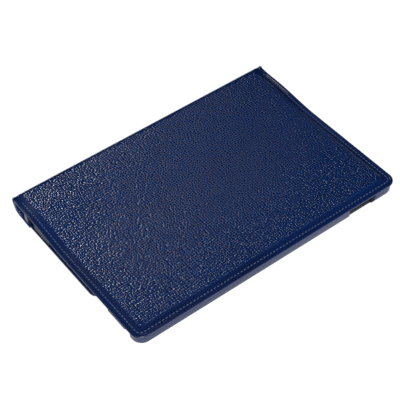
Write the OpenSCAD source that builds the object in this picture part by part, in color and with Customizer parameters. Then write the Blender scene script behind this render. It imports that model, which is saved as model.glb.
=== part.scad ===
// Folio case for a tablet: a padded cover and a back plate joined by a soft spine,
// and a hard tray for the tablet that turns on a disc on the back plate.
// Closed, lying on its back plate. X runs along the spine, +Y points at the spine, +Z is up.
// The origin is on the surface it lies on, at the middle of the closed case.

/* [Tablet pocket] */
// Length of the tablet that the tray holds
tablet_l = 251.4; // [200:0.1:300]
// Width of the tablet that the tray holds
tablet_w = 165; // [140:1:200]
// Depth of the pocket above its lining
pocket_depth = 7.2; // [5:0.1:12]

/* [Sheets and boards] */
// Thickness of the grained leather skin
skin_t = 0.7; // [0.5:0.1:1.2]
// Thickness of the microfibre lining
lining_t = 0.5; // [0.3:0.1:1]
// Thickness of the stiffening board in the back plate
plate_board_t = 1.2; // [0.8:0.1:2]
// Thickness of the stiffening board in the cover
cover_board_t = 1; // [0.8:0.1:2]
// Thickness of the foam over the cover's board
padding_t = 1.2; // [0.8:0.1:3]

/* [Tray] */
// Wall and floor thickness of the moulded shell
shell_t = 1.6; // [1.2:0.1:2.5]
// Plan radius of the tray's outer corners
tray_corner_r = 9; // [6:0.5:16]
// Radius along the tray's lower edge
tray_edge_r = 3; // [2:0.5:4]
// How far the snap lip reaches in over the tablet
lip_reach = 0.9; // [0.4:0.1:1.5]
// Height of the snap lip
lip_h = 0.8; // [0.5:0.1:1.5]
// Distance from the tray's end to the button cut-out in the front wall
button_side = 27.3; // [20:0.1:60]
// Length of the button cut-out along the wall
button_l = 22; // [15:1:40]
// How much further the leather is trimmed at the slanted end of the button cut-out
button_trim = 2; // [0:0.5:4]
// Length of each corner of the short walls
corner_wall_l = 11.7; // [10:0.1:20]
// Length of the opening beside each corner
side_slot_l = 9.1; // [5:0.1:15]
// Length of each bare wall tab of the short walls
tab_l = 21.6; // [10:0.1:30]
// How far the short wall openings reach in from the tray's side
port_depth = 5.3; // [3:0.1:8]
// Half height of the camera window
camera_r = 6; // [4:0.5:8]
// Distance between the two round ends of the camera window
camera_l = 9; // [2:0.5:16]
// Distance of the camera window from the tray's short side
camera_side = 19.5; // [16:0.5:30]
// Distance of the camera window from the tray's front side
camera_front = 15; // [13:0.5:30]

/* [Cover and back plate] */
// Overhang of the cover past the tray's short walls
side_overhang = 1; // [0.5:0.1:4]
// How far the tray and its swivel sit from the middle towards +X
tray_shift = 1; // [0:0.1:4]
// Overhang of the cover past the tray's front wall
front_overhang = 2.4; // [0.5:0.1:4]
// Height of the cover over the tray's rim
cover_gap = 1.3; // [1.2:0.1:3]
// Plan radius of the cover's front corners
cover_corner_r = 9; // [5:0.5:16]
// How far the cover rises towards the spine
cover_rise = 4; // [0:0.1:5]
// Length of the raised strip of the cover along the spine
raised_strip = 24; // [20:1:40]
// Length over which the cover slopes down from the raised strip
rise_l = 50; // [30:1:70]
// How far the back plate stops short of the cover at each end
plate_inset = 3; // [2:0.5:12]
// Reach of the back plate past the swivel's disc towards the front
plate_reach = 5; // [5:0.5:40]
// Plan radius of the back plate's front corners
plate_corner_r = 7; // [3:0.5:16]
// Distance from the swivel to the crease of the back plate
crease_offset = 34; // [30:0.5:45]
// Width of the soft crease between the two boards
crease_w = 3; // [2:0.5:5]

/* [Spine] */
// Room between the tray and the spine
spine_room = 5.9; // [4:0.1:10]
// How far the spine tucks under the case
spine_tuck = 17.5; // [12:0.5:25]
// Height of the round lower part of the spine
spine_round_h = 8; // [5:0.5:12]

/* [Swivel] */
// Height left for the swivel between the back plate and the tray
swivel_gap = 1.8; // [1.5:0.1:3]
// Radius of the turning disc under the tray
disc_r = 17.5; // [16:0.5:24]
// Radius of the swivel's stud
stud_r = 4; // [3:0.5:6]
// Radius of the stud's head and of its retainer
stud_head_r = 8.5; // [7:0.5:10]
// Radial running clearance of the stud
run_clear = 0.05; // [0.02:0.01:0.1]
// Radius of each rivet
rivet_r = 1.2; // [0.8:0.1:2]
// Radius of the rivet circle
rivet_circle_r = 12.5; // [12:0.5:15]

/* [Cover details] */
// Distance from the cover's edge to its stitch line
stitch_inset = 4.3; // [3:0.1:6]
// Width of the stitch line
stitch_w = 0.7; // [0.5:0.1:1]
// Number of standing ridges inside the cover
ridge_count = 3; // [2:1:4]
// Length of a standing ridge
ridge_l = 150; // [80:1:180]
// Width of a standing ridge
ridge_w = 4; // [3:0.5:6]
// Height of a standing ridge
ridge_h = 0.9; // [0.5:0.1:1]
// Spacing of the standing ridges
ridge_pitch = 16; // [12:1:24]
// Radius of a sleep magnet
magnet_r = 4; // [3:0.5:5]
// Distance from the cover's front edge to the middle of a sleep magnet
magnet_front = 12; // [8:0.5:20]

/* [Hidden] */

$fn = 64;
arc_steps = 8;          // steps in each quarter of a plan corner
edge_steps = 5;         // slices through the tray's rounded lower edge
rise_steps = 12;        // steps along the cover's rise
slice_t = 0.01;         // thickness of one slice in a rounded edge
over = 1;               // how far a cutting shape goes past what it cuts
fit = 0.3;              // gap between soft parts on either side of a fold
washer_gap = 0.05;      // axial running clearance in the swivel
cap_ring_gap = 0.5;     // ring of clearance round the swivel's back cap
cap_floor = 0.15;       // the cap sits this much above the surface
crease_half = crease_w / 2;

tray_wall = skin_t + shell_t;
tray_l = tablet_l + 2 * tray_wall;
tray_w = tablet_w + 2 * tray_wall;
pocket_r = tray_corner_r - tray_wall;
cover_l = tray_l + 2 * side_overhang;
case_w = front_overhang + tray_w + spine_room;
front_y = -case_w / 2;
back_y = case_w / 2;
tray_x = min(tray_shift, side_overhang);
tray_y = front_y + front_overhang + tray_w / 2;
button_start = tray_l / 2 - button_side - button_l;
corner_start = tray_w / 2 - corner_wall_l;
tab_outer = corner_start - side_slot_l;
port_half = tab_outer - tab_l;

plate_t = skin_t + plate_board_t + lining_t;
plate_l = cover_l - 2 * plate_inset;
plate_front = tray_y - disc_r - plate_reach;
plate_back = back_y - spine_tuck;
crease_y = tray_y + crease_offset;

tray_z = plate_t + swivel_gap;
shell_z = tray_z + skin_t;
floor_z = shell_z + shell_t;
pocket_z = floor_z + lining_t;
rim_z = pocket_z + pocket_depth;

cover_z = rim_z + cover_gap;
cover_t = lining_t + cover_board_t + padding_t + skin_t;
spine_t = skin_t + lining_t;
cover_back = back_y - spine_t - fit;
rise_end = back_y - raised_strip;
rise_start = rise_end - rise_l;
top_z = cover_z + cover_t + cover_rise;

washer_t = 0.4;
base_t = 0.8;
base_z = skin_t + plate_board_t;
washer_z = base_z + base_t;
disc_z = washer_z + washer_t + washer_gap;
recess_depth = 0.6;
recess_z = floor_z - recess_depth;
retainer_z = recess_z + washer_t + washer_gap;
retainer_t = 0.6;
head_t = 0.35;

camera_x = tray_x + tray_l / 2 - camera_side;
camera_y = tray_y - tray_w / 2 + camera_front;
magnet_t = 0.8;

// Points of one quarter of a circle, from angle start
function quarter(x, y, r, start) =
    [for (i = [0:arc_steps]) [x + r * cos(start + 90 * i / arc_steps), y + r * sin(start + 90 * i / arc_steps)]];

// A rectangle on the table plane with its own radius at the front and at the back
function outline(l, y0, y1, front_r, back_r) = concat(
    quarter(-l / 2 + front_r, y0 + front_r, front_r, 180),
    quarter(l / 2 - front_r, y0 + front_r, front_r, 270),
    quarter(l / 2 - back_r, y1 - back_r, back_r, 0),
    quarter(-l / 2 + back_r, y1 - back_r, back_r, 90)
);

// How far the cover stands above its flat part at y
function rise(y) = y < rise_start ? 0
    : y > rise_end ? cover_rise
    : cover_rise * (1 - cos(180 * (y - rise_start) / rise_l)) / 2;

// Places across the cover at which its rise is drawn
function rise_stops(y0, y1) = concat(
    [y0],
    [for (i = [0:rise_steps]) rise_start + rise_l * i / rise_steps],
    [y1]
);

// A flat sheet between two heights
module slab(l, y0, y1, z0, z1, front_r = 1, back_r = 1) {
    translate([0, 0, z0])
        linear_extrude(z1 - z0)
            polygon(outline(l, y0, y1, front_r, back_r));
}

// A flat sheet in the tray's plan
module tray_slab(l, w, z0, z1, r) {
    translate([tray_x, 0, 0])
        slab(l, tray_y - w / 2, tray_y + w / 2, z0, z1, r, r);
}

// A closed pan in the tray's plan, whose lower edge is round
module pan(l, w, z0, z1, r, edge_r) {
    hull() {
        for (i = [0:edge_steps - 1]) {
            a = 90 * i / edge_steps;
            inset = edge_r * (1 - sin(a));
            z = z0 + edge_r * (1 - cos(a));
            tray_slab(l - 2 * inset, w - 2 * inset, z, z + slice_t, r - inset / 2);
        }
        tray_slab(l, w, z0 + edge_r, z1, r);
    }
}

// One layer of the cover, which follows its rise
module cover_layer(l, y0, y1, below, above, front_r, back_r) {
    stops = rise_stops(y0, y1);
    intersection() {
        rotate([90, 0, 90])
            linear_extrude(l, center = true)
                polygon(concat(
                    [for (y = stops) [y, cover_z + below + rise(y)]],
                    [for (i = [len(stops) - 1:-1:0]) [stops[i], cover_z + above + rise(stops[i])]]
                ));
        slab(l, y0, y1, cover_z, top_z + 1, front_r, back_r);
    }
}

// Rivets round the swivel
module rivet_circle(z0, z1, turn, r = rivet_r) {
    for (a = [0:90:270])
        translate([tray_x + rivet_circle_r * cos(a + turn), tray_y + rivet_circle_r * sin(a + turn), z0])
            cylinder(h = z1 - z0, r = r);
}

// A round piece on the swivel's axis
module on_axis(z0, z1, r) {
    translate([tray_x, tray_y, z0])
        cylinder(h = z1 - z0, r = r);
}

// The camera window through the tray's floor
module camera_window(grow) {
    hull()
        for (side = [-1, 1])
            translate([camera_x + side * camera_l / 2, camera_y, tray_z - 1])
                cylinder(h = rim_z, r = camera_r + grow, $fn = 32);
}

// The opening right through the front wall for the tablet's buttons, with one slanted end
module button_opening(trim, depth) {
    h = rim_z - tray_z + 2 * over;
    translate([tray_x, tray_y - tray_w / 2 - over, tray_z - over])
        rotate([-90, 0, 0])
            linear_extrude(depth + over)
                polygon([
                    [button_start, 0],
                    [button_start + button_l + trim, 0],
                    [button_start + button_l + trim + h / 2, -h],
                    [button_start, -h]
                ]);
}

// The openings in both short walls between y0 and y1 from the tray's middle line
module side_openings(y0, y1, depth) {
    for (end = [-1, 1])
        for (side = [-1, 1])
            translate([tray_x + end * (tray_l / 2 + (over - depth) / 2), tray_y + side * (y0 + y1) / 2,
                (tray_z + rim_z) / 2])
                cube([depth + over, y1 - y0, rim_z - tray_z + 2 * over], center = true);
}

// The stitch line of a panel, on three sides
module stitch_frame(l, y0, y1, z0, z1, r, w) {
    difference() {
        slab(l, y0, y1 + 1, z0, z1, r, 1);
        slab(l - 2 * w, y0 + w, y1 + 2, z0 - 1, z1 + 1, r - w, 1);
        translate([0, y1 + 10, z0])
            cube([l + 2, 20, 10], center = true);
    }
}

module back_plate_skin() {
    color("midnightblue")
        difference() {
            slab(plate_l, plate_front, plate_back, 0, plate_t, plate_corner_r, 1);
            slab(plate_l - 2 * skin_t, plate_front + skin_t, plate_back + 1, skin_t, plate_t + 1,
                plate_corner_r - skin_t, 0.5);
            on_axis(-1, skin_t + 1, disc_r);
        }
}

module back_plate_board() {
    color("dimgray")
        difference() {
            slab(plate_l - 2 * skin_t, plate_front + skin_t, crease_y - crease_half, skin_t, base_z,
                plate_corner_r - skin_t, 1);
            on_axis(0, plate_t, stud_r);
            rivet_circle(0, plate_t, 0);
        }
}

module strut_board() {
    color("dimgray")
        slab(plate_l - 2 * skin_t, crease_y + crease_half, plate_back - 1, skin_t, base_z);
}

module back_plate_lining() {
    color("black")
        difference() {
            slab(plate_l - 2 * skin_t, plate_front + skin_t, plate_back, base_z, plate_t,
                plate_corner_r - skin_t, 1);
            on_axis(0, plate_t + 1, disc_r);
        }
}

module back_plate_stitching() {
    color("slateblue")
        translate([0, 0, plate_t])
            stitch_frame(plate_l - 2 * stitch_inset, plate_front + stitch_inset, plate_back - 1, 0, stitch_w / 2,
                plate_corner_r - stitch_inset, stitch_w);
}

module swivel_back_cap() {
    color("midnightblue")
        difference() {
            on_axis(cap_floor, skin_t, disc_r - cap_ring_gap);
            on_axis(skin_t - head_t, skin_t + 1, stud_head_r);
        }
}

module swivel_stud() {
    color("silver") {
        on_axis(skin_t - head_t, skin_t, stud_head_r);
        on_axis(skin_t, retainer_z, stud_r);
    }
}

module swivel_base() {
    color("silver")
        difference() {
            on_axis(base_z, washer_z, disc_r - 1);
            on_axis(0, rim_z, stud_r);
            rivet_circle(0, rim_z, 0);
        }
}

module swivel_base_rivets() {
    color("silver")
        rivet_circle(skin_t, washer_z, 0);
}

module friction_washer() {
    color("whitesmoke")
        difference() {
            on_axis(washer_z, washer_z + washer_t, disc_r - 2);
            on_axis(0, rim_z, stud_r);
        }
}

module swivel_retainer() {
    color("silver")
        on_axis(retainer_z, retainer_z + retainer_t, stud_head_r);
}

module swivel_disc() {
    color("black")
        difference() {
            on_axis(disc_z, shell_z, disc_r);
            on_axis(0, rim_z, stud_r + run_clear);
            rivet_circle(0, rim_z, 45);
        }
}

module swivel_disc_rivets() {
    color("silver")
        rivet_circle(disc_z, floor_z, 45);
}

module wave_washer() {
    color("gray")
        difference() {
            on_axis(recess_z, recess_z + washer_t, stud_head_r);
            on_axis(0, rim_z, stud_r + run_clear);
        }
}

module tray_shell() {
    color("black")
        difference() {
            pan(tray_l - 2 * skin_t, tray_w - 2 * skin_t, shell_z, rim_z, tray_corner_r - skin_t,
                tray_edge_r - skin_t);
            tray_slab(tablet_l, tablet_w, floor_z, rim_z - lip_h, pocket_r);
            tray_slab(tablet_l - 2 * lip_reach, tablet_w - 2 * lip_reach, floor_z, rim_z + over, pocket_r);
            on_axis(recess_z, rim_z, stud_head_r + fit);
            on_axis(0, rim_z, stud_r + run_clear);
            rivet_circle(0, rim_z, 45);
            camera_window(0);
            button_opening(0, tray_wall);
            side_openings(0, port_half, port_depth);
            side_openings(tab_outer, corner_start, port_depth);
        }
}

module tray_skin() {
    color("midnightblue")
        difference() {
            pan(tray_l, tray_w, tray_z, rim_z, tray_corner_r, tray_edge_r);
            pan(tray_l - 2 * skin_t, tray_w - 2 * skin_t, shell_z, rim_z + 1, tray_corner_r - skin_t,
                tray_edge_r - skin_t);
            on_axis(0, rim_z, disc_r + fit);
            camera_window(0);
            button_opening(button_trim, tray_wall);
            side_openings(0, corner_start, port_depth + skin_t);
        }
}

module tray_lining() {
    color("black")
        difference() {
            tray_slab(tablet_l, tablet_w, floor_z, pocket_z, pocket_r);
            on_axis(0, rim_z, stud_head_r + fit);
            camera_window(1);
            side_openings(0, port_half, port_depth);
            side_openings(tab_outer, corner_start, port_depth);
        }
}

// Points round the lower part of the spine, inset by t
function spine_curve(t) =
    [for (i = [0:arc_steps]) let (a = 90 * i / arc_steps)
        [plate_back + (spine_tuck - t) * sin(a), spine_round_h - (spine_round_h - t) * cos(a)]];

function reversed(points) = [for (i = [len(points) - 1:-1:0]) points[i]];

module spine_lower(l, outer, inner) {
    rotate([90, 0, 90])
        linear_extrude(l, center = true)
            polygon(concat(spine_curve(outer), reversed(spine_curve(inner))));
}

module spine_upper(l, outer, inner) {
    translate([-l / 2, back_y - inner, spine_round_h])
        cube([l, inner - outer, top_z - spine_round_h]);
}

module spine_lower_skin() {
    color("midnightblue")
        spine_lower(plate_l, 0, skin_t);
}

module spine_lower_lining() {
    color("black")
        spine_lower(plate_l - 2 * skin_t, skin_t, spine_t);
}

module spine_upper_skin() {
    color("midnightblue")
        spine_upper(plate_l, 0, skin_t);
}

module spine_upper_lining() {
    color("black")
        spine_upper(plate_l - 2 * skin_t, skin_t, spine_t);
}

module cover_skin() {
    color("midnightblue")
        difference() {
            cover_layer(cover_l, front_y, cover_back, 0, cover_t, cover_corner_r, 1);
            cover_layer(cover_l - 2 * skin_t, front_y + skin_t, cover_back + 1, -1, cover_t - skin_t,
                cover_corner_r - skin_t, 0.5);
            cover_stitching();
        }
}

module cover_padding() {
    color("gray")
        cover_layer(cover_l - 2 * skin_t, front_y + skin_t, cover_back, lining_t + cover_board_t,
            cover_t - skin_t, cover_corner_r - skin_t, 0.5);
}

module cover_board() {
    color("dimgray")
        difference() {
            cover_layer(cover_l - 2 * skin_t, front_y + skin_t, cover_back, lining_t,
                lining_t + cover_board_t, cover_corner_r - skin_t, 0.5);
            cover_magnets();
        }
}

module cover_lining() {
    color("black")
        cover_layer(cover_l - 2 * skin_t, front_y + skin_t, cover_back, 0, lining_t,
            cover_corner_r - skin_t, 0.5);
}

module cover_ridges() {
    color("black")
        for (i = [0:ridge_count - 1])
            translate([0, rise_start - ridge_w / 2 - i * ridge_pitch, cover_z - ridge_h / 2])
                cube([ridge_l, ridge_w, ridge_h], center = true);
}

module cover_magnets() {
    color("silver")
        for (x = [-1, 1])
            translate([x * tablet_l / 3, front_y + magnet_front, cover_z + lining_t])
                cylinder(h = magnet_t, r = magnet_r);
}

module cover_stitching() {
    color("slateblue")
        intersection() {
            stitch_frame(cover_l - 2 * stitch_inset, front_y + stitch_inset, cover_back - 1, cover_z, top_z + 1,
                cover_corner_r - stitch_inset, stitch_w);
            cover_layer(cover_l, front_y, cover_back, cover_t - skin_t / 2, cover_t, cover_corner_r, 1);
        }
}

back_plate_skin();
back_plate_board();
strut_board();
back_plate_lining();
back_plate_stitching();
swivel_back_cap();
swivel_stud();
swivel_base();
swivel_base_rivets();
friction_washer();
swivel_retainer();
swivel_disc();
swivel_disc_rivets();
wave_washer();
tray_shell();
tray_skin();
tray_lining();
spine_lower_skin();
spine_lower_lining();
spine_upper_skin();
spine_upper_lining();
cover_skin();
cover_padding();
cover_board();
cover_lining();
cover_ridges();
cover_magnets();
cover_stitching();
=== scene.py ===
"""Finishes for a closed tablet folio case with a turning tray: leather, stitching, lining and hardware."""

import math
import random

import bmesh
import bpy
from bpy.props import FloatProperty, FloatVectorProperty, IntProperty, PointerProperty
from mathutils import Matrix, Vector


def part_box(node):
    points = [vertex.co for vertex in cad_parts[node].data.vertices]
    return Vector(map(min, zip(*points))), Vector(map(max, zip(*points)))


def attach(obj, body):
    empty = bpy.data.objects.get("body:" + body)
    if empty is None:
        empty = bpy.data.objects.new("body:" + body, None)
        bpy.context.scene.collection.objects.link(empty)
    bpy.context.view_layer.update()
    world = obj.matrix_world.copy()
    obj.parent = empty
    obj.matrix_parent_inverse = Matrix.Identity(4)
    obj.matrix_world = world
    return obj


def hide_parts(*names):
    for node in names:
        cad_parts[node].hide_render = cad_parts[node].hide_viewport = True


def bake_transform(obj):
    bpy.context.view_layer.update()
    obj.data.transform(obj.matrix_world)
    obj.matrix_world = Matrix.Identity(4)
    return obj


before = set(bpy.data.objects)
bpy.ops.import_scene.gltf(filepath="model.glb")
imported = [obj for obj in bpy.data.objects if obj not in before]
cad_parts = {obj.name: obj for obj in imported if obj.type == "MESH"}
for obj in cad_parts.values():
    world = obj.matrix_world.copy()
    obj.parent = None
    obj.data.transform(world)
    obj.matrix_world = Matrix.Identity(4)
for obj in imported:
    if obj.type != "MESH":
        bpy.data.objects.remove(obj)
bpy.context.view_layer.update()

bl_info = {
    "name": "Tablet Folio Case",
    "version": (1, 0, 0),
    "blender": (4, 5, 0),
    "location": "3D View > Sidebar > Folio Case",
    "description": "Builds the leather, linings, stitching and hardware of a tablet folio case",
    "category": "Add Mesh",
}

MM = 0.001

# Places that the frame gives
COVER_LOW, COVER_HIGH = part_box("cover_skin")
PLATE_LOW, PLATE_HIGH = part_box("back_plate_skin")
SPINE_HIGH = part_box("spine_lower_skin")[1]
SPINE_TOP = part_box("spine_upper_skin")[1]
FOAM_LOW, FOAM_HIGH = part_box("cover_padding")
CAP_LOW, CAP_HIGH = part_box("swivel_back_cap")
RETAINER_LOW, RETAINER_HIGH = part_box("swivel_retainer")
STITCH_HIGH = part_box("cover_stitching")[1]
PLATE_STITCH_LOW, PLATE_STITCH_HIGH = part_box("back_plate_stitching")
RIDGES_LOW, RIDGES_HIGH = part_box("cover_ridges")
AXIS = (CAP_LOW + CAP_HIGH) / 2
STITCH_INSET = COVER_HIGH.x - STITCH_HIGH.x

# From the turning axis to the stand crease of the back plate
CREASE_OFFSET = 0.034

# The cover's layers, from its flat part at the front
RAISED_STRIP = 0.024
RISE_LENGTH = 0.050
BACK = SPINE_TOP.y
RISE_END = BACK - RAISED_STRIP
RISE_START = RISE_END - RISE_LENGTH
COVER_THICKNESS = 0.0034
COVER_RISE = COVER_HIGH.z - COVER_LOW.z - COVER_THICKNESS
COVER_TOP = COVER_LOW.z + COVER_THICKNESS
SKIN = 0.0007
LINING = 0.0005


class CaseSizes(bpy.types.PropertyGroup):
    """Sizes that shape the soft pieces."""
    cover_corner: FloatProperty(
        name="Cover corner", description="Plan radius of the cover's front corners",
        default=0.009, min=0.004, max=0.02, unit="LENGTH")
    plate_corner: FloatProperty(
        name="Plate corner", description="Plan radius of the back plate's front corners",
        default=0.007, min=0.003, max=0.02, unit="LENGTH")
    stitch_pitch: FloatProperty(
        name="Stitch pitch", description="Distance from one stitch to the next",
        default=0.0032, min=0.002, max=0.006, unit="LENGTH")
    stitch_length: FloatProperty(
        name="Stitch length", description="Length of the thread that shows in one stitch",
        default=0.0025, min=0.001, max=0.005, unit="LENGTH")
    thread_radius: FloatProperty(
        name="Thread radius", description="Radius of the sewing thread",
        default=0.00042, min=0.0001, max=0.0008, unit="LENGTH")
    pillow: FloatProperty(
        name="Pillow", description="How far the padded panel stands above the stitch line",
        default=0.0011, min=0.0, max=0.003, unit="LENGTH")
    pebble: FloatProperty(
        name="Pebble", description="Spacing of the pebbles in the leather's grain",
        default=0.0021, min=0.001, max=0.006, unit="LENGTH")
    ring_cuts: IntProperty(
        name="Panel cuts", description="Rows of faces across the padded panel",
        default=60, min=20, max=120)


class CaseColours(bpy.types.PropertyGroup):
    """Colours of the finishes, in linear light."""
    leather: FloatVectorProperty(
        name="Leather", description="Colour of the leather's pebbles",
        default=(0.0010, 0.0175, 0.0930), size=3, min=0, max=1, subtype="COLOR")
    crease: FloatVectorProperty(
        # Painted shade: this deep colour is laid in the valleys between the pebbles and over the smooth band
        # along the sewn edges.
        name="Crease", description="Colour between the pebbles",
        default=(0.0020, 0.0080, 0.0450), size=3, min=0, max=1, subtype="COLOR")
    thread: FloatVectorProperty(
        name="Thread", description="Colour of the sewing thread",
        default=(0.075, 0.110, 0.240), size=3, min=0, max=1, subtype="COLOR")
    microfibre: FloatVectorProperty(
        name="Microfibre", description="Colour of the lining",
        default=(0.0025, 0.0030, 0.0050), size=3, min=0, max=1, subtype="COLOR")
    plastic: FloatVectorProperty(
        name="Plastic", description="Colour of the moulded tray",
        default=(0.0020, 0.0025, 0.0045), size=3, min=0, max=1, subtype="COLOR")


# ---------------------------------------------------------------- shaders


class Value:
    """A socket that adds Math nodes when it stands in an expression."""

    def __init__(self, sheet, socket):
        self.sheet = sheet
        self.socket = socket

    def math(self, operation, first, second):
        return self.sheet.node("ShaderNodeMath", {"operation": operation}, {0: first, 1: second})

    def __add__(self, other):
        return self.math("ADD", self, other)

    def __radd__(self, other):
        return self.math("ADD", other, self)

    def __sub__(self, other):
        return self.math("SUBTRACT", self, other)

    def __rsub__(self, other):
        return self.math("SUBTRACT", other, self)

    def __mul__(self, other):
        return self.math("MULTIPLY", self, other)

    def __rmul__(self, other):
        return self.math("MULTIPLY", other, self)

    def __truediv__(self, other):
        return self.math("DIVIDE", self, other)


class Finish:
    """One material and the nodes that make it."""

    def __init__(self, name):
        self.material = bpy.data.materials.new(name)
        self.material.use_nodes = True
        self.tree = self.material.node_tree
        self.surface = self.tree.nodes["Principled BSDF"]

    def node(self, kind, settings=None, inputs=None, out=0):
        """Adds a node, gives it its settings first and then its inputs, and returns one output."""
        made = self.tree.nodes.new(kind)
        for key, setting in (settings or {}).items():
            setattr(made, key, setting)
        for key, given in (inputs or {}).items():
            self.feed(made.inputs[key], given)
        return Value(self, made.outputs[out])

    def feed(self, socket, given):
        if isinstance(given, Value):
            self.tree.links.new(given.socket, socket)
        else:
            socket.default_value = given

    def set(self, **inputs):
        """Sets or links the surface's own sockets, with _ for a space in a name."""
        for key, given in inputs.items():
            self.feed(self.surface.inputs[key.replace("_", " ")], given)
        return self

    def place(self):
        return self.node("ShaderNodeTexCoord", out="Object")

    def uv(self):
        return self.node("ShaderNodeTexCoord", out="UV")

    def noise(self, where, scale, detail=2.0, roughness=0.5):
        return self.node(
            "ShaderNodeTexNoise", {},
            {"Vector": where, "Scale": scale, "Detail": detail, "Roughness": roughness})

    def smooth_step(self, value, low, high, to_low=0.0, to_high=1.0):
        return self.node(
            "ShaderNodeMapRange", {"interpolation_type": "SMOOTHSTEP"},
            {"Value": value, "From Min": low, "From Max": high, "To Min": to_low, "To Max": to_high})

    def mix(self, factor, first, second):
        """A colour between two colours."""
        made = self.tree.nodes.new("ShaderNodeMix")
        made.data_type = "RGBA"
        self.feed(made.inputs["Factor"], factor)
        colours = [s for s in made.inputs if s.type == "RGBA"]
        for socket, given in zip(colours, (first, second)):
            self.feed(socket, given if isinstance(given, Value) else (*given, 1.0))
        return Value(self, next(s for s in made.outputs if s.type == "RGBA"))

    def bump(self, height, distance, strength=1.0, normal=None):
        inputs = {"Height": height, "Distance": distance, "Strength": strength}
        if normal is not None:
            inputs["Normal"] = normal
        return self.node("ShaderNodeBump", {}, inputs)


def pebbled_leather(name, colours, pebble, by_uv):
    """Pebble-grained coated leather, smooth where it is pulled round the sewn edges, with painted shade
    between the pebbles and over that smooth band.
    """
    f = Finish(name)
    where = f.uv() if by_uv else f.place()
    dims = "2D" if by_uv else "3D"
    shift = f.node(
        "ShaderNodeTexNoise", {}, {"Vector": where, "Scale": 0.45 / pebble, "Detail": 1.0}, out="Color")
    warped = f.node(
        "ShaderNodeVectorMath", {"operation": "MULTIPLY_ADD"},
        {0: shift, 1: (pebble * 0.35,) * 3, 2: where})

    def cells(scale, feature):
        return f.node(
            "ShaderNodeTexVoronoi", {"voronoi_dimensions": dims, "feature": feature},
            {"Vector": warped, "Scale": scale / pebble, "Randomness": 0.72})

    centre = cells(1.0, "F1")
    edge = cells(1.0, "DISTANCE_TO_EDGE")
    small = cells(2.3, "F1")
    crease = f.smooth_step(edge, 0.0, 0.13)
    domes = 1.0 - centre * centre * 1.5
    micro = f.noise(where, 8.0 / pebble, 2.0)
    grain = f.node("ShaderNodeAttribute", {"attribute_name": "grain"}, out="Fac") if by_uv else 0.3
    height = (domes + crease * 0.10 + (1.0 - small) * 0.07) * grain + micro * 0.02
    wear = f.smooth_step(f.noise(f.place(), 14.0, 2.0), 0.3, 0.7)
    # Painted shade in the valleys between the pebbles, with random wear mixed in.
    shade = crease * 0.85 + wear * 0.15
    pebbled = f.mix(shade, colours.crease, colours.leather)
    # Painted shade: the smooth band along the sewn edges takes the crease colour, lifted part way to the
    # leather colour by the wear.
    smooth_band_shade = f.mix(wear * 0.5, colours.crease, colours.leather)
    cover = f.smooth_step(grain, 0.1, 0.6) if by_uv else 0.5
    f.set(Base_Color=f.mix(cover, smooth_band_shade, pebbled),
          Roughness=0.27 + (1.0 - crease) * 0.08, Normal=f.bump(height, pebble * 0.30))
    return f.material


def woven_microfibre(name, colours):
    """Short black nap with a faint weave and brushed patches."""
    f = Finish(name)
    where = f.place()
    nap = f.noise(where, 2600.0, 3.0)
    patches = f.noise(where, 22.0, 2.0)
    weave = f.node(
        "ShaderNodeTexWave", {"wave_type": "BANDS", "bands_direction": "DIAGONAL"},
        {"Vector": where, "Scale": 420.0, "Distortion": 1.5, "Detail": 1.0})
    lighter = tuple(2.6 * c for c in colours.microfibre)
    base = f.mix(f.smooth_step(nap * 0.6 + patches * 0.4, 0.3, 0.72), colours.microfibre, lighter)
    f.set(Base_Color=base, Roughness=0.92 - patches * 0.1,
          Normal=f.bump(nap * 0.7 + weave * 0.3, 0.00006))
    f.surface.inputs["Sheen Weight"].default_value = 0.12
    f.surface.inputs["Sheen Roughness"].default_value = 0.5
    return f.material


def twisted_thread(name, colours):
    """Polyester sewing thread whose ply shows as slanting bands, with painted shade in the grooves between
    the plies.
    """
    f = Finish(name)
    where = f.place()
    ply = f.node(
        "ShaderNodeTexWave", {"wave_type": "BANDS", "bands_direction": "DIAGONAL"},
        {"Vector": where, "Scale": 900.0, "Distortion": 0.6})
    fuzz = f.noise(where, 3500.0, 2.0)
    # Painted shade: the grooves between the plies take 55 percent of the thread colour.
    ply_groove_shade = tuple(0.55 * c for c in colours.thread)
    f.set(Base_Color=f.mix(ply * 0.7 + fuzz * 0.3, ply_groove_shade, colours.thread),
          Roughness=0.62 - ply * 0.12, Normal=f.bump(ply, 0.00008))
    return f.material


def moulded_plastic(name, dark, light, grain=1600.0):
    """Spark-eroded moulded plastic."""
    f = Finish(name)
    where = f.place()
    texture = f.noise(where, grain, 3.0)
    flow = f.noise(where, 18.0, 2.0)
    f.set(Base_Color=f.mix(f.smooth_step(flow, 0.3, 0.7), dark, light),
          Roughness=0.5 + texture * 0.16, Normal=f.bump(texture, 0.00003))
    f.surface.inputs["Specular IOR Level"].default_value = 0.3
    return f.material


def turned_steel(name):
    """Pressed steel with a circular brushing round the swivel's axis."""
    f = Finish(name)
    centred = f.node(
        "ShaderNodeMapping", {}, {"Vector": f.place(), "Location": (-AXIS.x, -AXIS.y, 0.0)})
    rings = f.node(
        "ShaderNodeTexWave", {"wave_type": "RINGS", "rings_direction": "Z"},
        {"Vector": centred, "Scale": 700.0, "Distortion": 2.0, "Detail": 2.0})
    stain = f.noise(f.place(), 60.0, 3.0)
    f.set(Base_Color=f.mix(stain, (0.38, 0.38, 0.40), (0.62, 0.62, 0.64)),
          Roughness=0.24 + rings * 0.14 + stain * 0.06, Normal=f.bump(rings, 0.00001))
    f.surface.inputs["Metallic"].default_value = 1.0
    return f.material


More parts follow.
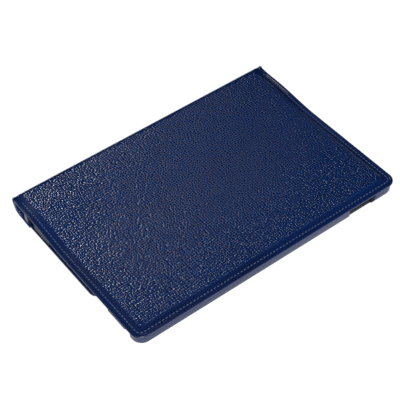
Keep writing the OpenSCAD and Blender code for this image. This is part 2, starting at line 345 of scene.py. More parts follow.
def pressed_board(name):
    """Grey fibre board with flecks and a felted surface."""
    f = Finish(name)
    where = f.place()
    fibres = f.noise(where, 900.0, 5.0, 0.65)
    flecks = f.node("ShaderNodeTexVoronoi", {"feature": "F1"}, {"Vector": where, "Scale": 260.0})
    tone = f.smooth_step(fibres * 0.7 + flecks * 0.3, 0.25, 0.7)
    f.set(Base_Color=f.mix(tone, (0.10, 0.09, 0.08), (0.30, 0.28, 0.25)),
          Roughness=0.85 + fibres * 0.1, Normal=f.bump(fibres, 0.0001))
    return f.material


def closed_cell_foam(name):
    """Grey foam whose cut cells show as small dents, with painted shade in the dents."""
    f = Finish(name)
    where = f.place()
    cells = f.node("ShaderNodeTexVoronoi", {"feature": "F1"}, {"Vector": where, "Scale": 1400.0})
    # Painted shade: each dent is a deeper grey towards its middle.
    f.set(Base_Color=f.mix(cells, (0.16, 0.16, 0.17), (0.30, 0.30, 0.31)),
          Roughness=0.8 + cells * 0.1, Normal=f.bump(cells, 0.0001))
    return f.material


# ---------------------------------------------------------------- modelling


def deselect():
    if bpy.context.object and bpy.context.object.mode != "OBJECT":
        bpy.ops.object.mode_set(mode="OBJECT")
    bpy.ops.object.select_all(action="DESELECT")


def only(obj):
    deselect()
    obj.select_set(True)
    bpy.context.view_layer.objects.active = obj
    return obj


def just_added(name):
    obj = bpy.context.object
    obj.name = name
    obj.data.name = name
    return obj


def apply_place(obj):
    only(obj)
    bpy.ops.object.transform_apply(location=True, rotation=True, scale=True)
    return obj


def block(name, low, high):
    """A block between two corners, as the start of a piece."""
    deselect()
    low, high = Vector(low), Vector(high)
    bpy.ops.mesh.primitive_cube_add(size=1, location=(low + high) / 2)
    obj = just_added(name)
    obj.scale = high - low
    return apply_place(obj)


def select_in_edit(obj, edges=None, faces=None):
    """Opens edit mode with only the edges or faces that pass the test selected."""
    only(obj)
    bpy.ops.object.mode_set(mode="EDIT")
    bpy.ops.mesh.select_mode(type="EDGE" if edges else "FACE")
    bpy.ops.mesh.select_all(action="DESELECT")
    mesh = bmesh.from_edit_mesh(obj.data)
    for item in (mesh.edges if edges else mesh.faces):
        if (edges or faces)(item):
            item.select_set(True)
    bmesh.update_edit_mesh(obj.data)


def leave_edit():
    bpy.ops.object.mode_set(mode="OBJECT")


def bevel_edges(obj, test, width, segments):
    select_in_edit(obj, edges=test)
    bpy.ops.mesh.bevel(offset=width, segments=segments, affect="EDGES")
    leave_edit()
    return obj


def upright(edge):
    a, b = (v.co for v in edge.verts)
    return abs(a.z - b.z) > 0.9 * (a - b).length


def modify(obj, kind, **settings):
    """Adds a modifier, sets it and applies it."""
    only(obj)
    made = obj.modifiers.new(kind.title(), kind)
    for key, setting in settings.items():
        setattr(made, key, setting)
    bpy.ops.object.modifier_apply(modifier=made.name)
    return obj


def smooth(obj, angle=35):
    only(obj)
    bpy.ops.object.shade_smooth_by_angle(angle=math.radians(angle))
    return obj


def on_rim(place, radius):
    """Whether a point lies at this distance from the tray's turning axis."""
    return abs(math.hypot(place.x - AXIS.x, place.y - AXIS.y) - radius) < 1e-5


def finish_piece(obj, body, material, slot, *nodes):
    """Gives a piece its finish and its body, and hides the frame nodes that it stands for. The slot is not
    used.
    """
    obj.data.materials.clear()
    obj.data.materials.append(material)
    if nodes:
        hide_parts(*nodes)
    if body:
        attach(obj, body)
    return obj


def lattice(name, rows, grains=None):
    """A sheet of faces whose corners are the given rows of points, with a UV map in metres."""
    tall, wide = len(rows), len(rows[0])
    deselect()
    bpy.ops.mesh.primitive_grid_add(x_subdivisions=wide - 1, y_subdivisions=tall - 1, size=1)
    obj = just_added(name)
    mesh = obj.data
    for j, row in enumerate(rows):
        for i, point in enumerate(row):
            mesh.vertices[j * wide + i].co = point
    down, across = measure_columns(rows), measure_rows(rows)
    layer = mesh.uv_layers[0] if mesh.uv_layers else mesh.uv_layers.new(name="UVMap")
    for loop in mesh.loops:
        j, i = divmod(loop.vertex_index, wide)
        layer.data[loop.index].uv = (across[i], down[j])
    if grains:
        attribute = mesh.attributes.new("grain", "FLOAT", "POINT")
        for j in range(tall):
            for i in range(wide):
                attribute.data[j * wide + i].value = grains[j][i]
    mesh.update()
    return obj


def measure_rows(rows):
    """Distance along the middle row from its first point."""
    middle = rows[len(rows) // 2]
    along = [0.0]
    for a, b in zip(middle, middle[1:]):
        along.append(along[-1] + (Vector(b) - Vector(a)).length)
    return [d - along[-1] / 2 for d in along]


def measure_columns(rows):
    """Distance along the middle column from its first point."""
    middle = [row[len(row) // 2] for row in rows]
    along = [0.0]
    for a, b in zip(middle, middle[1:]):
        along.append(along[-1] + (Vector(b) - Vector(a)).length)
    return along


def ease(t):
    t = max(0.0, min(1.0, t))
    return t * t * (3 - 2 * t)


def rise(y, x=0.0):
    """How far the cover stands up along the spine, a little more at its left end."""
    t = (y - RISE_START) / RISE_LENGTH
    lift = COVER_RISE * (1 - 0.10 * x / COVER_HIGH.x)
    return lift * ease(t)


# ---------------------------------------------------------------- leather edges


def padded_edge(pillow):
    """Section through the cover's sewn edge: (distance in from the edge, depth below the top, grain)."""
    top = pillow
    thick = COVER_THICKNESS
    half = (thick - top) / 2
    section = [(0.0070, thick, 0.1), (0.0045, thick, 0.1), (0.0026, thick, 0.1)]
    for step in range(9):
        a = math.radians(-90 + 180 * step / 8)
        section.append((half * 0.95 * (1 - math.cos(a)), top + half - half * math.sin(a), 0.14))
    section += [
        (0.0018, top - 0.00002, 0.12),
        (0.0022, top + 0.00012, 0.10),
        (0.0025, top + 0.00050, 0.0),
        (0.0028, top + 0.00050, 0.0),
        (0.0032, top + 0.00016, 0.1),
        (0.0038, top + 0.00020, 0.1),
        (0.0046, top + 0.00020, 0.1),
        (0.0051, top + 0.00026, 0.05),
        (0.0056, top + 0.00004, 0.0),
        (0.0063, top * 0.82, 0.0),
        (0.0071, top * 0.60, 0.0),
        (0.0079, top * 0.38, 0.10),
        (0.0087, top * 0.20, 0.45),
        (0.0097, top * 0.07, 0.85),
        (0.0110, 0.0, 1.0),
    ]
    return section


def plain_edge(thick):
    """Section through a turned edge of a flat panel, with as many points as the sewn edge."""
    half = thick / 2
    section = [(0.0042, thick, 0.3), (0.0030, thick, 0.3), (half * 1.15, thick, 0.3)]
    for step in range(9):
        a = math.radians(-90 + 180 * step / 8)
        section.append((half * 0.9 * (1 - math.cos(a)), half - half * math.sin(a), 0.5))
    reach = 0.0110
    start = half
    for step in range(1, 16):
        section.append((start + (reach - start) * step / 15, 0.0, min(1.0, 0.5 + step * 0.06)))
    return section


def corner_ring(half, front, radius, inset, reach, share):
    """A point on the left front corner, share 0 at its diagonal and 1 at the end of the corner's block."""
    r = max(radius - inset, 0.0035)
    straight = max(reach - inset - r, 0.0)
    arc = r * math.pi / 4
    at = share * (arc + straight)
    cx, cy = -half + inset + r, front + inset + r
    if at < arc:
        a = math.radians(225) - at / r
        return cx + r * math.cos(a), cy + r * math.sin(a)
    return -half + inset, cy + (at - arc)


def wrapped_panel(half, front, back, radius, section, columns, rows, surface):
    """Rows of points for a panel whose leather turns round three edges.

    surface(x, y, depth) gives the height. The rows run from the front edge to the spine."""
    size = len(section)
    last = section[-1][0]
    inner = [-half + last + (2 * half - 2 * last) * i / columns for i in range(1, columns)]
    inner_y = [front + last + (back - front - last) * j / rows for j in range(1, rows + 1)]
    wide = 2 * size + len(inner)
    points, grains = [], []

    for j in range(size + len(inner_y)):
        row, tone = [], []
        for i in range(wide):
            mirror = i >= size + len(inner)
            column = i if i < size else (wide - 1 - i if mirror else None)
            if j < size:
                if column is not None:
                    k = min(j, column)
                    share = rank(k, max(j, column), size)
                    x, y = corner_ring(half, front, radius, section[k][0], last, share)
                    if column > j:
                        x, y = swap_corner(half, front, x, y)
                    x = -x if mirror else x
                else:
                    k = j
                    x, y = inner[i - size], front + section[j][0]
            else:
                y = inner_y[j - size]
                if column is not None:
                    k = column
                    x = -half + section[k][0]
                    x = -x if mirror else x
                else:
                    k = size - 1
                    x = inner[i - size]
            row.append(surface(x, y, section[k][1]))
            tone.append(section[k][2])
        points.append(row)
        grains.append(tone)
    return points, grains


def rank(k, other, size):
    """How far along a corner's ring a point lies, by its place among the rings."""
    if k == size - 1:
        return 1.0
    return (other - k) / (size - 1 - k)


def swap_corner(half, front, x, y):
    """Mirrors a point of the left front corner in the corner's diagonal."""
    return -half + (y - front), front + (x + half)


def shell_of(obj, thickness):
    modify(obj, "SOLIDIFY", thickness=thickness, offset=-1.0, use_even_offset=False)
    return smooth(obj, 60)


def onto_floor(obj):
    """Keeps the thickened corners of a flat sheet from dipping below the floor."""
    for v in obj.data.vertices:
        v.co.z = max(v.co.z, 0.0)
    return obj


def round_hole(obj, radius):
    """Opens a round hole in a flat sheet, with finer faces round it and its rim drawn to the circle."""

    def reach(place):
        return math.hypot(place.x - AXIS.x, place.y - AXIS.y)

    select_in_edit(obj, faces=lambda face: abs(reach(face.calc_center_median()) - radius) < 0.005)
    bpy.ops.mesh.subdivide(number_cuts=1)
    leave_edit()
    select_in_edit(obj, faces=lambda face: reach(face.calc_center_median()) < radius)
    bpy.ops.mesh.delete(type="FACE")
    mesh = bmesh.from_edit_mesh(obj.data)
    for v in mesh.verts:
        away = reach(v.co)
        if v.is_boundary and away < radius * 1.2:
            v.co.x = AXIS.x + (v.co.x - AXIS.x) * radius / away
            v.co.y = AXIS.y + (v.co.y - AXIS.y) * radius / away
    bmesh.update_edit_mesh(obj.data)
    leave_edit()
    return obj


# ---------------------------------------------------------------- pieces


def settings():
    return bpy.context.scene.case_sizes, bpy.context.scene.case_colours


FINISHES = {}


def finish(kind):
    """The shared materials, made once."""
    sizes, colours = settings()
    makers = {
        "sheet_leather": lambda: pebbled_leather("navy_pebbled_leather", colours, sizes.pebble, True),
        "wrap_leather": lambda: pebbled_leather("navy_wrap_leather", colours, sizes.pebble, False),
        "microfibre": lambda: woven_microfibre("black_microfibre", colours),
        "thread": lambda: twisted_thread("navy_thread", colours),
        "plastic": lambda: moulded_plastic(
            "black_moulded_plastic", tuple(colours.plastic), tuple(1.8 * c for c in colours.plastic)),
        "nylon": lambda: moulded_plastic("white_nylon", (0.70, 0.70, 0.68), (0.82, 0.82, 0.80), 900.0),
        "steel": lambda: turned_steel("turned_steel"),
        "board": lambda: pressed_board("pressed_fibre_board"),
        "foam": lambda: closed_cell_foam("grey_foam"),
    }
    if kind not in FINISHES:
        FINISHES[kind] = makers[kind]()
    return FINISHES[kind]


def settle(depth, pillow, y):
    """Depth below the top, with the padding thinned out towards the spine."""
    fade = ease((BACK - y) / 0.014)
    if depth < pillow:
        return depth * fade
    return pillow * fade + (depth - pillow) * (COVER_THICKNESS - pillow * fade) / (COVER_THICKNESS - pillow)


def undulation(x, y):
    """The padded panel's slow waves, which the foam and glue leave."""
    return 0.00004 * math.sin(61 * x + 11 * y) * math.sin(47 * y - 9 * x) \
        + 0.00002 * math.sin(133 * x - 71 * y + 1.3)


class CASE_OT_cover_leather(bpy.types.Operator):
    """Make the cover's padded leather with its sewn edges"""
    bl_idname = "case.cover_leather"
    bl_label = "Cover leather"

    def execute(self, context):
        sizes, _ = settings()
        section = padded_edge(sizes.pillow)

        def surface(x, y, depth):
            flat = max(0.0, 1 - depth / sizes.pillow) if depth < sizes.pillow else 0.0
            return (x, y, COVER_TOP + rise(y, x) - settle(depth, sizes.pillow, y) + flat * undulation(x, y))

        rows, grains = wrapped_panel(
            COVER_HIGH.x, COVER_LOW.y, COVER_HIGH.y, sizes.cover_corner, section,
            round(sizes.ring_cuts * 1.6), sizes.ring_cuts, surface)
        obj = shell_of(lattice("cover_leather", rows, grains), SKIN)
        finish_piece(obj, "cover", finish("sheet_leather"), "navy_leather", "cover_skin")
        return {"FINISHED"}


class CASE_OT_cover_filling(bpy.types.Operator):
    """Make the foam pad that fills the cover"""
    bl_idname = "case.cover_filling"
    bl_label = "Cover foam"

    def execute(self, context):
        low = (FOAM_LOW.x + 0.006, FOAM_LOW.y + 0.006, COVER_TOP - SKIN - 0.0012)
        high = (FOAM_HIGH.x - 0.006, FOAM_HIGH.y, COVER_TOP - SKIN - 0.00015)
        obj = block("cover_foam", low, high)
        bevel_edges(obj, lambda e: upright(e) and e.verts[0].co.y < 0, 0.006, 6)
        only(obj)
        for step in range(1, 25):
            y = RISE_START + (BACK - RISE_START) * step / 25
            slice_across(obj, y)
        near_top = high[2] - MM * 0.01
        bevel_edges(obj, lambda e: all(v.co.z > near_top for v in e.verts)
                    and len(e.link_faces) == 2 and e.calc_face_angle(0) > 1.0, 0.0007, 3)
        for v in obj.data.vertices:
            v.co.z += rise(v.co.y, v.co.x)
        smooth(obj, 40)
        finish_piece(obj, "cover", finish("foam"), "grey_foam", "cover_padding")
        return {"FINISHED"}


def slice_across(obj, y):
    select_in_edit(obj, faces=lambda face: True)
    bpy.ops.mesh.bisect(plane_co=(0, y, 0), plane_no=(0, 1, 0))
    leave_edit()


def stitch_route(half, front, back, radius, pitch):
    """Places along three sides of a panel, each with the direction of the seam."""
    r = radius
    straight_side = back - front - r
    arc = r * math.pi / 2
    total = 2 * straight_side + 2 * arc + 2 * (half - r)
    count = int(total / pitch)
    route = []
    for n in range(count):
        at = (n + 0.5) * total / count
        if at < straight_side:
            route.append((-half, back - at, -math.pi / 2))
            continue
        at -= straight_side
        if at < arc:
            a = math.pi + at / r
            route.append((-half + r + r * math.cos(a), front + r + r * math.sin(a), a + math.pi / 2))
            continue
        at -= arc
        if at < 2 * (half - r):
            route.append((-half + r + at, front, 0.0))
            continue
        at -= 2 * (half - r)
        if at < arc:
            a = 1.5 * math.pi + at / r
            route.append((half - r + r * math.cos(a), front + r + r * math.sin(a), a + math.pi / 2))
            continue
        at -= arc
        route.append((half, front + r + at, math.pi / 2))
    return route


def sew(name, route, height, slope, length, radius, lean):
    """One stitch, copied along a route and joined to one piece."""
    deselect()
    bpy.ops.mesh.primitive_uv_sphere_add(segments=8, ring_count=6, radius=1.0)
    first = just_added(name + "_first")
    first.rotation_euler = (0, math.pi / 2, 0)
    apply_place(first)
    first.scale = (length / 2, radius, radius)
    apply_place(first)
    for v in first.data.vertices:
        v.co.z -= radius * 0.9 * (2 * v.co.x / length) ** 4
    steady = random.Random(7)
    copies = []
    for x, y, turn in route:
        one = first.copy()
        one.data = first.data.copy()
        bpy.context.collection.objects.link(one)
        wobble = lean + steady.uniform(-0.05, 0.05)
        one.matrix_world = (Matrix.Translation((x, y, height(x, y) + radius * 0.15))
                            @ Matrix.Rotation(math.atan(slope(y)) * abs(math.sin(turn)), 4, "X")
                            @ Matrix.Rotation(turn + wobble, 4, "Z"))
        copies.append(one)
    bpy.data.objects.remove(first, do_unlink=True)
    deselect()
    for one in copies:
        one.select_set(True)
    bpy.context.view_layer.objects.active = copies[0]
    bpy.ops.object.join()
    obj = just_added(name)
    apply_place(obj)
    return smooth(obj, 60)


class CASE_OT_stitching(bpy.types.Operator):
    """Sew the cover's and the back plate's edges"""
    bl_idname = "case.stitching"
    bl_label = "Stitching"

    def execute(self, context):
        sizes, _ = settings()
        inset = STITCH_INSET
        seam = COVER_TOP - sizes.pillow - 0.00022
        route = stitch_route(
            COVER_HIGH.x - inset, COVER_LOW.y + inset, COVER_HIGH.y - MM, sizes.cover_corner - inset,
            sizes.stitch_pitch)

        def slope(y):
            return (rise(y + MM) - rise(y - MM)) / (2 * MM)

        obj = sew("cover_stitches", route, lambda x, y: seam + rise(y, x), slope,
                  sizes.stitch_length, sizes.thread_radius, 0.10)
        finish_piece(obj, "cover", finish("thread"), "navy_thread", "cover_stitching")
        route = stitch_route(
            PLATE_STITCH_HIGH.x, PLATE_STITCH_LOW.y, PLATE_STITCH_HIGH.y, sizes.plate_corner - inset,
            sizes.stitch_pitch)
        obj = sew("back_plate_stitches", route, lambda x, y: PLATE_HIGH.z, lambda y: 0.0,
                  sizes.stitch_length, sizes.thread_radius, 0.10)
        finish_piece(obj, "back_plate", finish("thread"), "navy_thread", "back_plate_stitching")
        return {"FINISHED"}


def lining_rows(half, front, back, radius, height, thickness):
    """Rows of points for a thin sheet whose edges roll down."""
    edge = [(0.0, thickness, 1.0), (0.00008, thickness * 0.5, 1.0), (0.0003, thickness * 0.12, 1.0)]
    edge += [(0.0003 + 0.0125 * step / 6, 0.0, 1.0) for step in range(1, 7)]
    return wrapped_panel(
        half, front, back, radius, edge, 40, 48, lambda x, y, depth: (x, y, height(x, y, depth)))


class CASE_OT_cover_inside(bpy.types.Operator):
    """Line the cover and cover its standing ridges"""
    bl_idname = "case.cover_inside"
    bl_label = "Cover lining"

    def execute(self, context):
        def under(x, y, depth):
            return COVER_LOW.z + rise(y, x) - 0.00012 + depth

        rows, grains = lining_rows(
            COVER_HIGH.x - 0.0040, COVER_LOW.y + 0.0040, COVER_HIGH.y, 0.006, under, LINING)
        obj = lattice("cover_lining_sheet", rows, grains)
        turn_over(obj)
        shell_of(obj, LINING * 0.9)
        finish_piece(obj, "cover", finish("microfibre"), "black_microfibre", "cover_lining")
        width = 0.004
        rows_of_ridges = round((RIDGES_HIGH.y - RIDGES_LOW.y - width) / 0.016) + 1
        ridges = []
        for n in range(rows_of_ridges):
            y = RIDGES_LOW.y + n * (RIDGES_HIGH.y - RIDGES_LOW.y - width) / (rows_of_ridges - 1)
            one = block(f"ridge_{n}", (RIDGES_LOW.x, y, RIDGES_LOW.z),
                        (RIDGES_HIGH.x, y + width, RIDGES_HIGH.z))
            bevel_edges(one, upright, width * 0.45, 5)
            bevel_edges(one, lambda e: all(v.co.z < RIDGES_LOW.z + MM * 0.01 for v in e.verts),
                        0.0007, 4)
            ridges.append(one)
        deselect()
        for one in ridges:
            one.select_set(True)
        bpy.context.view_layer.objects.active = ridges[0]
        bpy.ops.object.join()
        obj = smooth(just_added("cover_covered_ridges"), 50)
        finish_piece(obj, "cover", finish("microfibre"), "black_microfibre", "cover_ridges")
        return {"FINISHED"}


def turn_over(obj):
    only(obj)
    bpy.ops.object.mode_set(mode="EDIT")
    bpy.ops.mesh.select_all(action="SELECT")
    bpy.ops.mesh.flip_normals()
    leave_edit()
    return obj


def fold_path():
    """Points (y, z) and outward angles down the outside of the spine, from the cover to the back plate."""
    corner = 0.0022
    tuck = BACK - PLATE_HIGH.y
    round_z = SPINE_HIGH.z
    path = []
    for step in range(9):
        a = math.radians(90 - 90 * step / 8)
        path.append((BACK - corner + corner * math.cos(a), SPINE_TOP.z - corner + corner * math.sin(a), a))
    start = SPINE_TOP.z - corner
    for step in range(1, 12):
        path.append((BACK, start + (round_z - start) * step / 12, 0.0))
    for step in range(0, 17):
        a = math.radians(90 * step / 16)
        y = PLATE_HIGH.y + tuck * math.cos(a)
        z = round_z - round_z * math.sin(a)
        path.append((y, z, -math.atan2(tuck * math.sin(a), round_z * math.cos(a) or 1e-9)))
    return [(COVER_HIGH.y, SPINE_TOP.z, math.pi / 2)] + path


def spine_rows(path, shares, columns, depth_scale, shift, sections):
    """Rows of points for leather that follows the spine. shares run from 0 at the cover to 1 at the plate."""
    sewn, turned = sections
    rows, grains = [], []
    for (y, z, angle), share in zip(path, shares):
        half = COVER_HIGH.x + (PLATE_HIGH.x - COVER_HIGH.x) * ease(min(1.0, share * 1.15))
        near = ease(share * 3.0)
        row, tone = [], []
        edge = []
        for (a, b) in zip(sewn, turned):
            edge.append(tuple(p + (q - p) * near for p, q in zip(a, b)))
        last = edge[-1][0]
        inner = [-half + last + (2 * half - 2 * last) * i / columns for i in range(1, columns)]
        across = [(-half + e[0], e[1], e[2]) for e in edge]
        across += [(x, 0.0, 1.0) for x in inner]
        across += [(half - e[0], e[1], e[2]) for e in reversed(edge)]
        for x, depth, grain in across:
            d = depth * depth_scale + shift
            tilt = 0.0 if share > 0.3 else (rise(BACK, x) - COVER_RISE) * (1 - share / 0.3)
            row.append((x, y - d * math.cos(angle), z - d * math.sin(angle) + tilt))
            tone.append(grain)
        rows.append(row)
        grains.append(tone)
    return rows, grains


class CASE_OT_spine(bpy.types.Operator):
    """Make the soft spine in three lengths, with its lining"""
    bl_idname = "case.spine"
    bl_label = "Spine"

    def execute(self, context):
        sizes, _ = settings()
        path = fold_path()
        along = [0.0]
        for (y0, z0, _a), (y1, z1, _b) in zip(path, path[1:]):
            along.append(along[-1] + math.hypot(y1 - y0, z1 - z0))
        shares = [a / along[-1] for a in along]
        columns = round(sizes.ring_cuts * 1.6)
        middle, low = 15, 29
        sewn = [(inset, settle(depth, sizes.pillow, BACK), grain) for inset, depth, grain
                in padded_edge(sizes.pillow)]
        turned = plain_edge(SKIN + LINING)
        lengths = (
            ("top", 0, middle, "spine_upper", "cover", "spine_upper"),
            ("middle", middle, low, "spine_lower", "spine_upper", None),
            ("low", low, len(path) - 1, "back_plate", "spine_lower", "spine_lower"),
        )
        for name, first, last, near_body, far_body, node in lengths:
            part, part_shares = path[first:last + 1], shares[first:last + 1]
            rows, grains = spine_rows(part, part_shares, columns, 1.0, 0.0, (sewn, turned))
            obj = turn_over(lattice("spine_leather_" + name, rows, grains))
            shell_of(obj, SKIN * 0.9)
            nodes = [node + "_skin"] if node else []
            finish_piece(obj, None, finish("sheet_leather"), "navy_leather", *nodes)
            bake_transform(obj)
            obj = self.lining(name, part, columns)
            nodes = [node + "_lining"] if node else []
            finish_piece(obj, None, finish("microfibre"), "black_microfibre", *nodes)
            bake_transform(obj)
        return {"FINISHED"}

    def lining(self, name, part, columns):
        half = PLATE_HIGH.x - 0.0014
        depth = SKIN + LINING + 0.00010
        rows = []
        for y, z, angle in part:
            rows.append([
                (-half + 2 * half * i / columns, y - depth * math.cos(angle), z - depth * math.sin(angle))
                for i in range(columns + 1)])
        return shell_of(lattice("spine_lining_" + name, rows), LINING * 0.8)


class CASE_OT_back_plate(bpy.types.Operator):
    """Make the back plate's leather, lining and swivel cap"""
    bl_idname = "case.back_plate"
    bl_label = "Back plate"

    def execute(self, context):
        sizes, _ = settings()
        thick = PLATE_HIGH.z
        crease = AXIS.y + CREASE_OFFSET

        def surface(x, y, depth):
            dent = 0.0006 * math.exp(-((y - crease) / 0.0011) ** 2)
            share = max(0.0, 1 - depth / thick * 2)
            return (x, y, depth + dent * share)

        rows, grains = wrapped_panel(
            PLATE_HIGH.x, PLATE_LOW.y, PLATE_HIGH.y, sizes.plate_corner, plain_edge(thick),
            round(sizes.ring_cuts * 1.2), round(sizes.ring_cuts * 1.4), surface)
        obj = turn_over(lattice("back_plate_leather", rows, grains))
        onto_floor(shell_of(round_hole(obj, (CAP_HIGH.x - CAP_LOW.x) / 2 + 0.0004), SKIN * 0.95))
        finish_piece(obj, "back_plate", finish("sheet_leather"), "navy_leather", "back_plate_skin")

        def inside(x, y, depth):
            dip = 0.0004 * math.exp(-((y - crease) / 0.0016) ** 2)
            return PLATE_HIGH.z + 0.00008 - depth - dip

        rows, grains = lining_rows(
            PLATE_HIGH.x - 0.0036, PLATE_LOW.y + 0.0036, PLATE_HIGH.y, 0.005, inside, LINING)
        obj = lattice("back_plate_lining_sheet", rows, grains)
        shell_of(round_hole(obj, (CAP_HIGH.x - CAP_LOW.x) / 2 + 0.0005), LINING * 0.8)
        finish_piece(obj, "back_plate", finish("microfibre"), "black_microfibre", "back_plate_lining")
        self.cap()
        return {"FINISHED"}

    def cap(self):
        """A leather-covered disc with a rolled rim and a pressed ring."""
        deselect()
        radius = (CAP_HIGH.x - CAP_LOW.x) / 2
        bpy.ops.mesh.primitive_cylinder_add(
            vertices=96, radius=radius, depth=CAP_HIGH.z - CAP_LOW.z,
            location=(AXIS.x, AXIS.y, (CAP_HIGH.z + CAP_LOW.z) / 2))
        obj = apply_place(just_added("swivel_cap_leather"))
        bottom = CAP_LOW.z + MM * 0.01
        select_in_edit(obj, faces=lambda face: all(v.co.z < bottom for v in face.verts))
        bpy.ops.mesh.inset(thickness=0.0004, depth=0.0)
        bpy.ops.mesh.inset(thickness=0.0022, depth=0.0)
        bpy.ops.mesh.inset(thickness=0.0003, depth=-0.00025)
        bpy.ops.mesh.inset(thickness=0.0005, depth=0.0)
        bpy.ops.mesh.inset(thickness=0.0003, depth=0.00025)
        bpy.ops.mesh.inset(thickness=0.0060, depth=0.0)
        bpy.ops.mesh.inset(thickness=0.0060, depth=0.0)
        leave_edit()
        bevel_edges(obj, lambda e: all(v.co.z < bottom for v in e.verts)
                    and all(on_rim(v.co, radius) for v in e.verts),
                    0.00025, 3)
        smooth(obj, 40)
        finish_piece(obj, "back_plate", finish("wrap_leather"), "navy_leather", "swivel_back_cap")


def softened_copy(name, node, width, angle=35):
    """A copy of a frame node with merged corners and rolled edges."""
    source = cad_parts[node]
    obj = source.copy()
    obj.data = source.data.copy()
    for key in list(obj.keys()):
        del obj[key]
    bpy.context.collection.objects.link(obj)
    obj.parent = None
    obj.matrix_world = Matrix.Identity(4)
    obj.name = name
    obj.data.name = name
    only(obj)
    bpy.ops.object.mode_set(mode="EDIT")
    bpy.ops.mesh.select_all(action="SELECT")
    bpy.ops.mesh.remove_doubles(threshold=1e-6)
    bpy.ops.mesh.dissolve_limited(angle_limit=math.radians(0.5))
    leave_edit()
    modify(obj, "BEVEL", width=width, segments=3, limit_method="ANGLE", angle_limit=math.radians(angle),
           harden_normals=False, use_clamp_overlap=True)
    return smooth(obj, 40)


class CASE_OT_tray(bpy.types.Operator):
    """Make the tray's moulding, leather and lining"""
    bl_idname = "case.tray"
    bl_label = "Tray"

    def execute(self, context):
        obj = softened_copy("tray_moulding", "tray_shell", 0.00025)
        finish_piece(obj, "tray", finish("plastic"), "black_plastic", "tray_shell")
        obj = softened_copy("tray_leather", "tray_skin", 0.00022)
        finish_piece(obj, "tray", finish("wrap_leather"), "navy_leather", "tray_skin")
        obj = softened_copy("tray_lining_sheet", "tray_lining", 0.00015)
        finish_piece(obj, "tray", finish("microfibre"), "black_microfibre", "tray_lining")
        return {"FINISHED"}


class CASE_OT_hardware(bpy.types.Operator):
    """Shape the retainer's head and finish the hidden hardware"""
    bl_idname = "case.hardware"
    bl_label = "Hardware"

    def execute(self, context):
        deselect()
        radius = (RETAINER_HIGH.x - RETAINER_LOW.x) / 2
        bpy.ops.mesh.primitive_cylinder_add(
            vertices=72, radius=radius, depth=RETAINER_HIGH.z - RETAINER_LOW.z,
            location=(AXIS.x, AXIS.y, (RETAINER_LOW.z + RETAINER_HIGH.z) / 2))
        obj = apply_place(just_added("swivel_retainer_head"))
        top = RETAINER_HIGH.z - MM * 0.01
        select_in_edit(obj, faces=lambda face: all(v.co.z > top for v in face.verts))
        bpy.ops.mesh.inset(thickness=0.0008, depth=0.0)
        bpy.ops.mesh.inset(thickness=0.0030, depth=-0.00012)
        bpy.ops.mesh.inset(thickness=0.0006, depth=0.00012)
        bpy.ops.mesh.inset(thickness=0.0012, depth=-0.00020)
        leave_edit()
        bevel_edges(obj, lambda e: all(v.co.z > top for v in e.verts)
                    and all(on_rim(v.co, radius) for v in e.verts),
                    0.00025, 3)
        smooth(obj, 40)
        finish_piece(obj, "back_plate", finish("steel"), "swivel_steel", "swivel_retainer")
        kinds = {
            "back_plate_board": "board", "strut_board": "board", "cover_board": "board",
            "swivel_stud": "steel", "swivel_base": "steel", "swivel_base_rivets": "steel",
            "swivel_disc_rivets": "steel", "wave_washer": "steel", "cover_magnets": "steel",
            "friction_washer": "nylon", "swivel_disc": "plastic",
        }
        for node, kind in kinds.items():
            mesh = bpy.data.objects[node].data
            mesh.materials.clear()
            mesh.materials.append(finish(kind))
        return {"FINISHED"}


# ---------------------------------------------------------------- stage


def area_light(name, at, towards, size, power, colour=(1.0, 1.0, 1.0)):
    data = bpy.data.lights.new(name, "AREA")
    data.shape = "RECTANGLE"
    data.size, data.size_y = size
    data.energy = power
    data.color = colour
    lamp = bpy.data.objects.new(name, data)
    bpy.context.collection.objects.link(lamp)
    lamp.location = at
    lamp.rotation_euler = (Vector(towards) - Vector(at)).to_track_quat("-Z", "Y").to_euler()
    return lamp


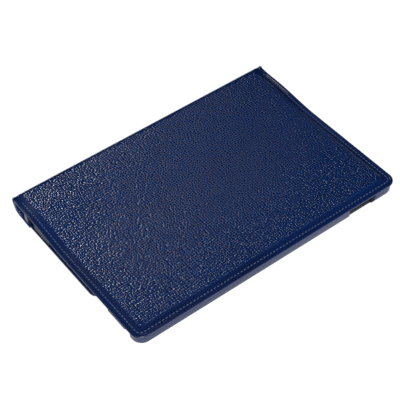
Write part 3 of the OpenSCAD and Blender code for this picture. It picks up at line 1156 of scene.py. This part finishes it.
class CASE_OT_stage(bpy.types.Operator):
    """Set the pale floor, the soft lights and the camera"""
    bl_idname = "case.stage"
    bl_label = "Stage"

    def execute(self, context):
        deselect()
        bpy.ops.mesh.primitive_plane_add(size=8.0, location=(0, 0, -0.0001))
        floor = just_added("floor")
        pale = Finish("pale_floor")
        speck = pale.noise(pale.place(), 3.0, 2.0)
        pale.set(Base_Color=pale.mix(speck, (0.10, 0.10, 0.10), (0.12, 0.12, 0.12)), Roughness=0.9)
        pale.surface.inputs["Specular IOR Level"].default_value = 0.0
        pale.surface.inputs["Emission Color"].default_value = (1.0, 1.0, 1.0, 1.0)
        pale.surface.inputs["Emission Strength"].default_value = 0.95
        floor.data.materials.append(pale.material)
        self.world(context)
        area_light("softbox_back", (-0.10, 0.72, 0.28), (-0.10, 0, 0), (0.20, 0.14), 3.6)
        area_light("softbox_front", (-0.55, -1.10, 0.97), (0, 0, 0), (0.8, 0.6), 33.0)
        self.camera(context)
        context.scene.view_settings.view_transform = "Standard"
        return {"FINISHED"}

    def world(self, context):
        world = bpy.data.worlds.new("studio")
        context.scene.world = world
        world.use_nodes = True
        nodes, links = world.node_tree.nodes, world.node_tree.links
        dim = nodes["Background"]
        dim.inputs["Color"].default_value = (0.9, 0.95, 1.0, 1.0)
        dim.inputs["Strength"].default_value = 0.015
        pale = nodes.new("ShaderNodeBackground")
        pale.inputs["Color"].default_value = (1.0, 1.0, 1.0, 1.0)
        path = nodes.new("ShaderNodeLightPath")
        both = nodes.new("ShaderNodeMixShader")
        links.new(path.outputs["Is Camera Ray"], both.inputs[0])
        links.new(dim.outputs[0], both.inputs[1])
        links.new(pale.outputs[0], both.inputs[2])
        links.new(both.outputs[0], nodes["World Output"].inputs["Surface"])

    def camera(self, context):
        azimuth, elevation, roll = (math.radians(a) for a in (-34.34, 46.96, -3.46))
        distance, lens = 0.979, 106.4
        target = Vector((0.00036, 0.00869, 0.0))
        back = Vector((math.sin(azimuth) * math.cos(elevation),
                       -math.cos(azimuth) * math.cos(elevation), math.sin(elevation)))
        data = bpy.data.cameras.new("camera")
        data.lens = lens
        data.sensor_width = 36.0
        data.clip_start = 0.05
        cam = bpy.data.objects.new("camera", data)
        context.collection.objects.link(cam)
        facing = (-back).to_track_quat("-Z", "Y").to_matrix().to_4x4()
        cam.matrix_world = (Matrix.Translation(target + back * distance) @ facing
                            @ Matrix.Rotation(roll, 4, "Z"))
        context.scene.camera = cam


class CASE_PT_panel(bpy.types.Panel):
    """Sizes, colours and pieces of the folio case"""
    bl_label = "Folio Case"
    bl_idname = "CASE_PT_panel"
    bl_space_type = "VIEW_3D"
    bl_region_type = "UI"
    bl_category = "Folio Case"

    def draw(self, context):
        layout = self.layout
        for group in (context.scene.case_sizes, context.scene.case_colours):
            box = layout.box()
            for key in group.__annotations__:
                box.prop(group, key)
        for maker in MAKERS:
            layout.operator(maker.bl_idname)


MAKERS = (
    CASE_OT_stage,
    CASE_OT_cover_leather,
    CASE_OT_cover_filling,
    CASE_OT_stitching,
    CASE_OT_cover_inside,
    CASE_OT_spine,
    CASE_OT_back_plate,
    CASE_OT_tray,
    CASE_OT_hardware,
)
CLASSES = (CaseSizes, CaseColours, *MAKERS, CASE_PT_panel)


def register():
    for item in CLASSES:
        bpy.utils.register_class(item)
    bpy.types.Scene.case_sizes = PointerProperty(type=CaseSizes)
    bpy.types.Scene.case_colours = PointerProperty(type=CaseColours)


def unregister():
    del bpy.types.Scene.case_colours
    del bpy.types.Scene.case_sizes
    for item in reversed(CLASSES):
        bpy.utils.unregister_class(item)


def main():
    register()
    for maker in MAKERS:
        group, name = maker.bl_idname.split(".")
        getattr(getattr(bpy.ops, group), name)()


if __name__ == "__main__":
    main()
